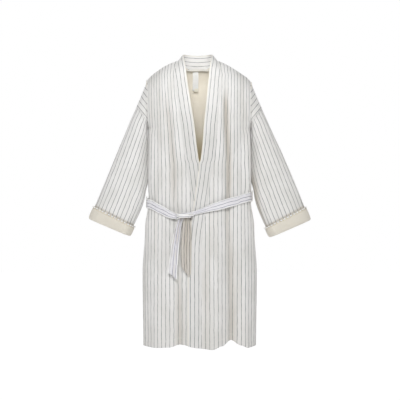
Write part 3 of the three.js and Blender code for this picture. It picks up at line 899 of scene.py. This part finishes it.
def cuff_surface(side, section):
    """Points of a section round a sleeve's end, and how far round and down the sleeve they lie."""
    down, out = np.array(section).T
    w = 1 + (down - CUFF_HEIGHT) / SLEEVE_LENGTH
    base, angle = sleeve_base(np.minimum(w, 1.0))
    base = base + SLEEVE_AXIS * (np.maximum(w - 1, 0) * SLEEVE_LENGTH)[:, None, None]
    n = normals(sleeve_base(np.linspace(0.9, 1.0, 12))[0], wrap=True)[6][None]
    around = SLEEVE_ROUND * angle / TURN
    outside = fade(out, 1.2, 4.0)[:, None]
    seed = 61 + SIDES[side]
    wave = 1.6 * noise(around / 30, 0 * around, seed) + 0.6 * noise(around / 9, w[:, None] * 60, seed + 2)
    wave = wave * off_the_seam(around)
    p = base + n * (out[:, None] + outside * (wave + 0.8))[..., None]
    return p * [SIDES[side], 1, 1], around, (w * SLEEVE_LENGTH)[:, None]


def cuff(side):
    section = CUFF_SECTION + CUFF_SECTION[:1]
    p, around, along = cuff_surface(side, section)
    # Painted shade along the row of stitches at the top of the cuff.
    stitch_row_shade = np.array([0.2 if down < 8 and out > 3 else 0.0 for down, out in section])
    stitch_row_shade = np.repeat(stitch_row_shade, p.shape[1])
    grain = grid_of(around, along)
    obj = solid(f"{side}_cuff_cloth", p, grid_faces(*p.shape[:2]), cuff_cloth, grain, painted_shade=stitch_row_shade)
    modifier = obj.modifiers.new("round", "SUBSURF")  # rounds the cuff's folds
    modifier.levels = modifier.render_levels = 1
    evaluated = obj.evaluated_get(bpy.context.evaluated_depsgraph_get())
    mesh = bpy.data.meshes.new_from_object(evaluated)
    obj.modifiers.clear()
    obj.data = mesh
    return obj


# ---- Belt ----
def waist_belt():
    """The belt round the waist, from one side of the knot round the back to the other."""
    reach = 20
    start = -math.acos((KNOT[0] + reach) / SHOULDER_X)
    end = TURN - math.acos((KNOT[0] - reach) / SHOULDER_X)
    angle = np.linspace(start, end, 560)[:, None]
    across, puff = band_profile(23)
    front = np.sin(angle) < 0
    x = SHOULDER_X * np.cos(angle)
    z = belt_line(x, ~front)
    widest = z - BELT_WIDTH / 2
    on_lap = np.where(front, BELT_OVER_LAP * fade(x, -150, -90) * fall(x, 100, 160), 0)
    pinch = mix(0.42, 1, fade(angle, start, start + 0.7)) * mix(0.6, 1, fade(end - angle, 0, 0.3))
    sway = 0.9 * noise(angle * 5, 0 * angle, 31) + 0.5 * noise(angle * 17, 0 * angle, 32)
    ragged = 0.5 * noise(angle * 26, across * 2, 33)
    height = z + sway + ragged + (0.5 - across) * BELT_WIDTH * pinch
    p = grid_of(half_width(widest) * np.cos(angle), mid_depth(widest) * np.sin(angle) - on_lap, height)
    n = normals(p)
    near = np.exp(-(angle - start) / 0.16) + np.exp(-(end - angle) / 0.14)
    folds = 1.9 * near * np.sin(TURN * 2.5 * across + 1.5)
    folds = folds + 0.55 * noise(angle * 12, across * 3, 34) * (1 - np.clip(near, 0, 1))
    crease = 0.7 * bump(across, 0.47 + 0.05 * np.sin(angle * 3), 0.05)
    outer = p + n * (BELT_OUT - (1 - puff) + folds - crease)[..., None]
    inner = p + n * (BELT_IN + (1 - puff) + np.clip(folds, -0.4, 2))[..., None]
    grain = grid_of(across * BELT_WIDTH, SHOULDER_X * (angle - start))
    return shell("waist_belt_cloth", outer, inner, grain, belt_cloth)


def ribbon(name, path, sides, widths, thick, material, pleats=0.0, count=90, seed=0):
    """A flat tube of cloth along a path. sides point across it. They and its widths run down the path."""
    p = curve(path, count)
    share = np.linspace(0, 1, count)
    tangent = np.gradient(p, axis=0)
    out = unit(np.cross(tangent, along_line(np.array(sides, float), share)))
    side = unit(np.cross(out, tangent))
    width = np.interp(share, np.linspace(0, 1, len(widths)), widths)[:, None]
    cols = 42
    turn = np.linspace(0, TURN, cols)[None, :]
    s = np.cos(turn)
    round_edge = np.sign(np.sin(turn)) * np.abs(np.sin(turn)) ** 0.5
    along = run_length(p)[:, None]
    ripple = pleats * (np.sin(7.5 * s + along / 9) + 0.8 * noise(3 * s + 4, along / 13, seed))
    lift = round_edge * thick / 2 + ripple * np.abs(round_edge)
    points = p[:, None] + side[:, None] * (s * width / 2)[..., None] + out[:, None] * lift[..., None]
    k = np.arange(cols // 2 - 1)
    first = np.stack([k + 1, k, cols - 1 - k, cols - 2 - k], axis=-1)
    last = np.stack([k, k + 1, cols - 2 - k, cols - 1 - k], axis=-1) + (count - 1) * cols
    faces = np.concatenate([grid_faces(count, cols), first, last])
    grain = grid_of((s + 1) * width / 2, along)
    # Painted shade in the troughs of the pleats and along both edges.
    painted_shade = np.clip(-0.5 * ripple / max(pleats, 0.1), 0, 1) + 0.3 * fade(np.abs(s), 0.9, 1)
    return solid(name, points, faces, material, grain, painted_shade=painted_shade)


def knot():
    """The belt's knot: one end wraps over the other, and both come out below."""
    bar = KNOT + [
        (4, 10, 4), (-17, 10, 3), (-26, 1, 4), (-19, -10, 6), (-2, -13, 7),
        (16, -11, 7), (26, 0, 8), (19, 9, 6), (6, 10, 5),
    ]
    tilt = [(0, 0.1, 1)] * 3 + [(0.1, 0.4, 1), (0.08, 0.5, 1), (-0.06, 0.4, 1)] + [(0, 0.1, 1)] * 3
    wrap = ribbon("knot_wrap", bar, tilt, (15, 18, 22, 20, 18, 16, 14), 8, knot_cloth_painted_light, 1.2, 130, 141)
    over = KNOT + [(34, 8, 13), (20, -1, 12), (2, -4, 11), (-14, -2, 7), (-30, 7, 1)]
    across = [(0, 0.2, 1), (0.1, 0.5, 1), (0, 0.7, 1), (-0.1, 0.5, 1), (-0.3, 0.2, 1)]
    strap = ribbon("knot_strap", over, across, (16, 14, 12, 14, 22), 5, belt_cloth, 0.6, 90, 151)
    return wrap, strap


def tail(name, outer_edge, inner_edge, bottom, pleats, material, seed):
    """A belt end from its edges by height, its foot at both edges, and how deep it is pleated at the
    foot and at the knot."""
    across, puff = band_profile(23)
    v = np.linspace(0, 1, 150)[:, None]
    z = mix(mix(*bottom, across), TAIL_TOP_Z + TAIL_TUCK, v)
    x = mix(outer_edge(z), inner_edge(z), across)
    high = fade(z, -720, -600)
    y = -mid_depth(z) - mix(8, TAIL_OUT, fade(z, -790, -640)) - 5 * fade(z, -604, -580)
    y = y + 1.2 * (1 - high) * np.sin(z / 31 + seed) * fade(z, -850, -740)
    fold = mix(*pleats, high) * np.sin(TURN * 2.1 * across + 0.6 * np.sin(z / 50) + seed)
    fold = fold + 0.6 * noise(across * 3, z / 30, seed)
    body = np.minimum(1, 8 * v) ** 0.4 * puff
    y = y - fold * puff
    outer = grid_of(x, y - (0.2 + body), z)
    inner = grid_of(x, y + (1.6 + 0.8 * body), z)
    # Painted shade where the tail comes out below the knot, and in the troughs of its pleats.
    painted_shade = np.clip(0.5 * fade(z, -596, -580) - 0.4 * fold, 0, 0.8)
    return shell(name, outer, inner, grid_of(across * BELT_WIDTH, z), material, painted_shade=painted_shade)


def tails():
    right = tail(
        "right_tail_cloth",
        soft_line((-566, -76), (TAIL_TOP_Z, -92), (-700, -111), (-790, -122)),
        soft_line((-566, -58), (TAIL_TOP_Z, -70), (-700, -80), (-816, -88)),
        (-788, -816), (1.0, 2.6), belt_cloth, 3,
    )
    left = tail(
        "left_tail_cloth",
        soft_line((-566, -61), (TAIL_TOP_Z, -67), (-700, -74), (-790, -70)),
        soft_line((-566, -41), (TAIL_TOP_Z, -32), (-700, -31), (-816, -34)),
        (-766, -818), (2.0, 3.4), belt_wrong_side_painted_shade, 5,
    )
    return {"right": right, "left": left}


# ---- Small pieces ----
def hanger_tape():
    """The hanger loop: tape sewn under the collar seam at both ends, a little slack between."""
    (right, front, bottom), (left, _, top) = node_box("hanger_loop")
    middle = np.array([0, front + 0.6, (bottom + top) / 2])
    path = middle + [
        (right, 1.2, 3), (right + 7, 0.4, 0.6), (-26, 0, -0.7), (-8, -0.5, -0.2), (10, 0, 0.5),
        (left - 7, 0.4, 0.2), (left, 1.2, 2.6),
    ]
    return ribbon("hanger_tape", path, [(0, 0, 1)], (6.6, 6.9, 6.6), 1.2, white_tape, 0.12, 150, 171)


def hanging_ribbon(node, back, curl, material, seed):
    """A flat ribbon that hangs in a node's place, set back a little, and curls back at its foot."""
    low, high = (corner + [0, back, 0] for corner in node_box(node))
    x, y = (low[0] + high[0]) / 2, (low[1] + high[1]) / 2
    shares = np.linspace(0, 1, 6)
    path = [(x + 0.5 * math.sin(5 * t), y + curl * t**1.5, mix(high[2], low[2], t)) for t in shares]
    width = high[0] - low[0]
    return ribbon(f"{node}_ribbon", path, [(1, 0, 0)], [width], 0.7, material, 0.1, 80, seed)


def belt_loop(side):
    """A belt loop of tape, sewn to the side seam above and below the belt."""
    low, high = node_box(f"{side}_belt_loop")
    flip = SIDES[side]
    wall, out = (low[0], high[0])[::flip]
    y, top, bottom = (low[1] + high[1]) / 2, high[2], low[2]
    at = lambda share, z: (mix(wall, out, share) - flip * 0.6, y, z)
    turn = [(-0.1, 1), (0.5, 1.2), (0.97, 4), (1, 12)]
    path = [at(share, top - far) for share, far in turn] + [at(1, (top + bottom) / 2)]
    path += [at(share, bottom + far) for share, far in turn[::-1]]
    return ribbon(f"{side}_belt_loop_tape", path, [(0, 1, 0)], [6], 1.3, white_tape, 0.15, 120, 181)


def cuff_stitches(side):
    """White stitches all along the upper edge of a cuff: short threads with rounded ends."""
    length, gap, radius = 9.5, 4.5, 2.4
    line = cuff_surface(side, [(2.2, 5.6)])[0][0]
    along = run_length(line)
    starts = np.arange(gap, along[-1] - length - gap, length + gap)
    rings, sides = 7, 6
    t = np.linspace(0, 1, rings)
    turn = np.arange(sides + 1) * TURN / sides
    points, faces = [], []
    for start in starts:
        p = along_line(line, start + t * length, along)
        ahead = unit(p[-1] - p[0])
        a = unit(np.cross(ahead, [0, 1, 0]))
        b = np.cross(ahead, a)
        size = radius * np.sqrt(np.maximum(0, 1 - (2 * t - 1) ** 4))
        ring = np.cos(turn)[None, :, None] * a + np.sin(turn)[None, :, None] * b
        faces.append(grid_faces(rings, sides + 1, len(points) * rings * (sides + 1)))
        points.append((p[:, None] + size[:, None, None] * ring).reshape(-1, 3))
    points = np.concatenate(points)
    return solid(f"{side}_cuff_stitches", points, np.concatenate(faces), thread, points[:, [0, 2]])


# ---- Camera, light and stage ----
EYE_DISTANCE = 5.0
VIEW_WIDTH = 1.568  # metres across the picture at the robe
EYE_X, EYE_Z = 0.0012, -0.510
FLOOR_REACH, FLOOR_Z = 14.0, -1.6


def aimed(name, light, place, target=None, turn=None):
    """A light at a place, turned towards a target or by given angles."""
    obj = add(name, light)
    obj.location = place
    if target is not None:
        x, y, z = np.array(target, float) - np.array(place, float)
        turn = math.atan2(math.hypot(x, y), -z), 0, math.atan2(x, -y) + math.pi
    obj.rotation_euler = turn


def studio():
    scene = bpy.context.scene
    scene.view_settings.view_transform = "Standard"
    camera = bpy.data.cameras.new("camera")
    camera.sensor_width = 36
    camera.lens = camera.sensor_width * EYE_DISTANCE / VIEW_WIDTH
    eye = add("camera", camera)
    eye.location = (EYE_X, RIDGE_Y * MM - EYE_DISTANCE, EYE_Z)
    eye.rotation_euler = (math.pi / 2, 0, 0)
    scene.camera = eye

    # The world and the floor are white to the camera and dimmer as light.
    n = Nodes("studio", "worlds", "Background")
    inputs = {"Value": n.node("ShaderNodeLightPath"), "To Min": 0.34, "To Max": 1.0}
    n.set(color=(1, 1, 1, 1), strength=n.node("ShaderNodeMapRange", inputs))
    scene.world = n.made

    ridge, low = (0, 0, -0.45), (0, 0, -0.3)
    for name, place, target, size, power in (
        ("key", (-0.15, -3.0, 1.4), ridge, 1.1, 62),
        ("fill", (-2.6, -2.1, 0.1), low, 1.2, 3.4),
        ("fill", (2.6, -2.1, 0.1), low, 1.2, 3.4),
        ("back", (-0.9, 3.3, 1.2), ridge, 1.6, 66),
    ):
        light = bpy.data.lights.new(name, "AREA")
        light.shape, light.size, light.energy = "DISK", size, power
        aimed(name, light, place, target)
    # Two narrow beams lift the inside of the neck and of the front opening.
    for name, angle, tilt, power in (("neck", 5.4, 2.0, 130), ("opening", 3.6, 4.2, 88)):
        beam = bpy.data.lights.new(name, "SPOT")
        beam.energy, beam.spot_size = power, math.radians(angle)
        beam.spot_blend, beam.shadow_soft_size = 1.0, 0.1
        aimed(name, beam, (0.0, -3.4, 0.12), turn=(math.radians(90 - tilt), 0, 0))

    floor = bpy.data.meshes.new("floor")
    corners = [(x * FLOOR_REACH, y * FLOOR_REACH, FLOOR_Z) for x, y in ((-1, -1), (1, -1), (1, 1), (-1, 1))]
    floor.from_pydata(corners, [], [(0, 1, 2, 3)])
    n = Nodes("floor_paint")
    seen = n.node("ShaderNodeLightPath")
    glow = n.math("MULTIPLY_ADD", seen, 0.78, 0.22)
    paint = n.math("MULTIPLY_ADD", seen, -0.9, 0.9)
    n.set(base_color=paint, roughness=0.9, emission_color=(1, 1, 1, 1), emission_strength=glow)
    floor.materials.append(n.made)
    add("floor", floor)


def settle(
    piece, node, body="robe_body"
):
    """Ties a piece to its body, when it has one, and hides its CAD node."""
    if body is not None:
        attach(piece, body)
    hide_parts(node)


studio()
tape_loop = hanger_tape()
settle(tape_loop, "hanger_loop")
back, back_lining = back_piece()
settle(back, "back_panel")
settle(back_lining, "back_lining")
for side, area in (("left", 0.245), ("right", 0.24)):
    outer, lining = front_piece(side)
    settle(outer, f"{side}_front_panel")
    settle(lining, f"{side}_front_lining")
    band = front_band(side)
    settle(band, f"{side}_front_band")
settle(collar(), "back_collar_band")
for side in SIDES:
    arm = f"{side}_sleeve_body"
    outer, lining = sleeve(side)
    settle(outer, f"{side}_sleeve", arm)
    settle(lining, f"{side}_sleeve_lining", arm)
    sewn = cuff_stitches(side)
    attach(sewn, arm)
    settle(cuff(side), f"{side}_cuff", arm)
    settle(belt_loop(side), f"{side}_belt_loop")

belt = waist_belt()
settle(belt, "waist_belt")
wrap, strap = knot()
settle(wrap, "belt_knot")
settle(strap, "belt_knot")
for side, piece in tails().items():
    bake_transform(piece)
    settle(piece, f"belt_tail_{side}", body=None)
label = hanging_ribbon("neck_label", 0, 9.0, label_ribbon, 191)
settle(label, "neck_label", body="label_body")
tab = hanging_ribbon("size_tab", 7.6, 1.2, tab_ribbon, 193)
settle(tab, "size_tab", body="label_body")
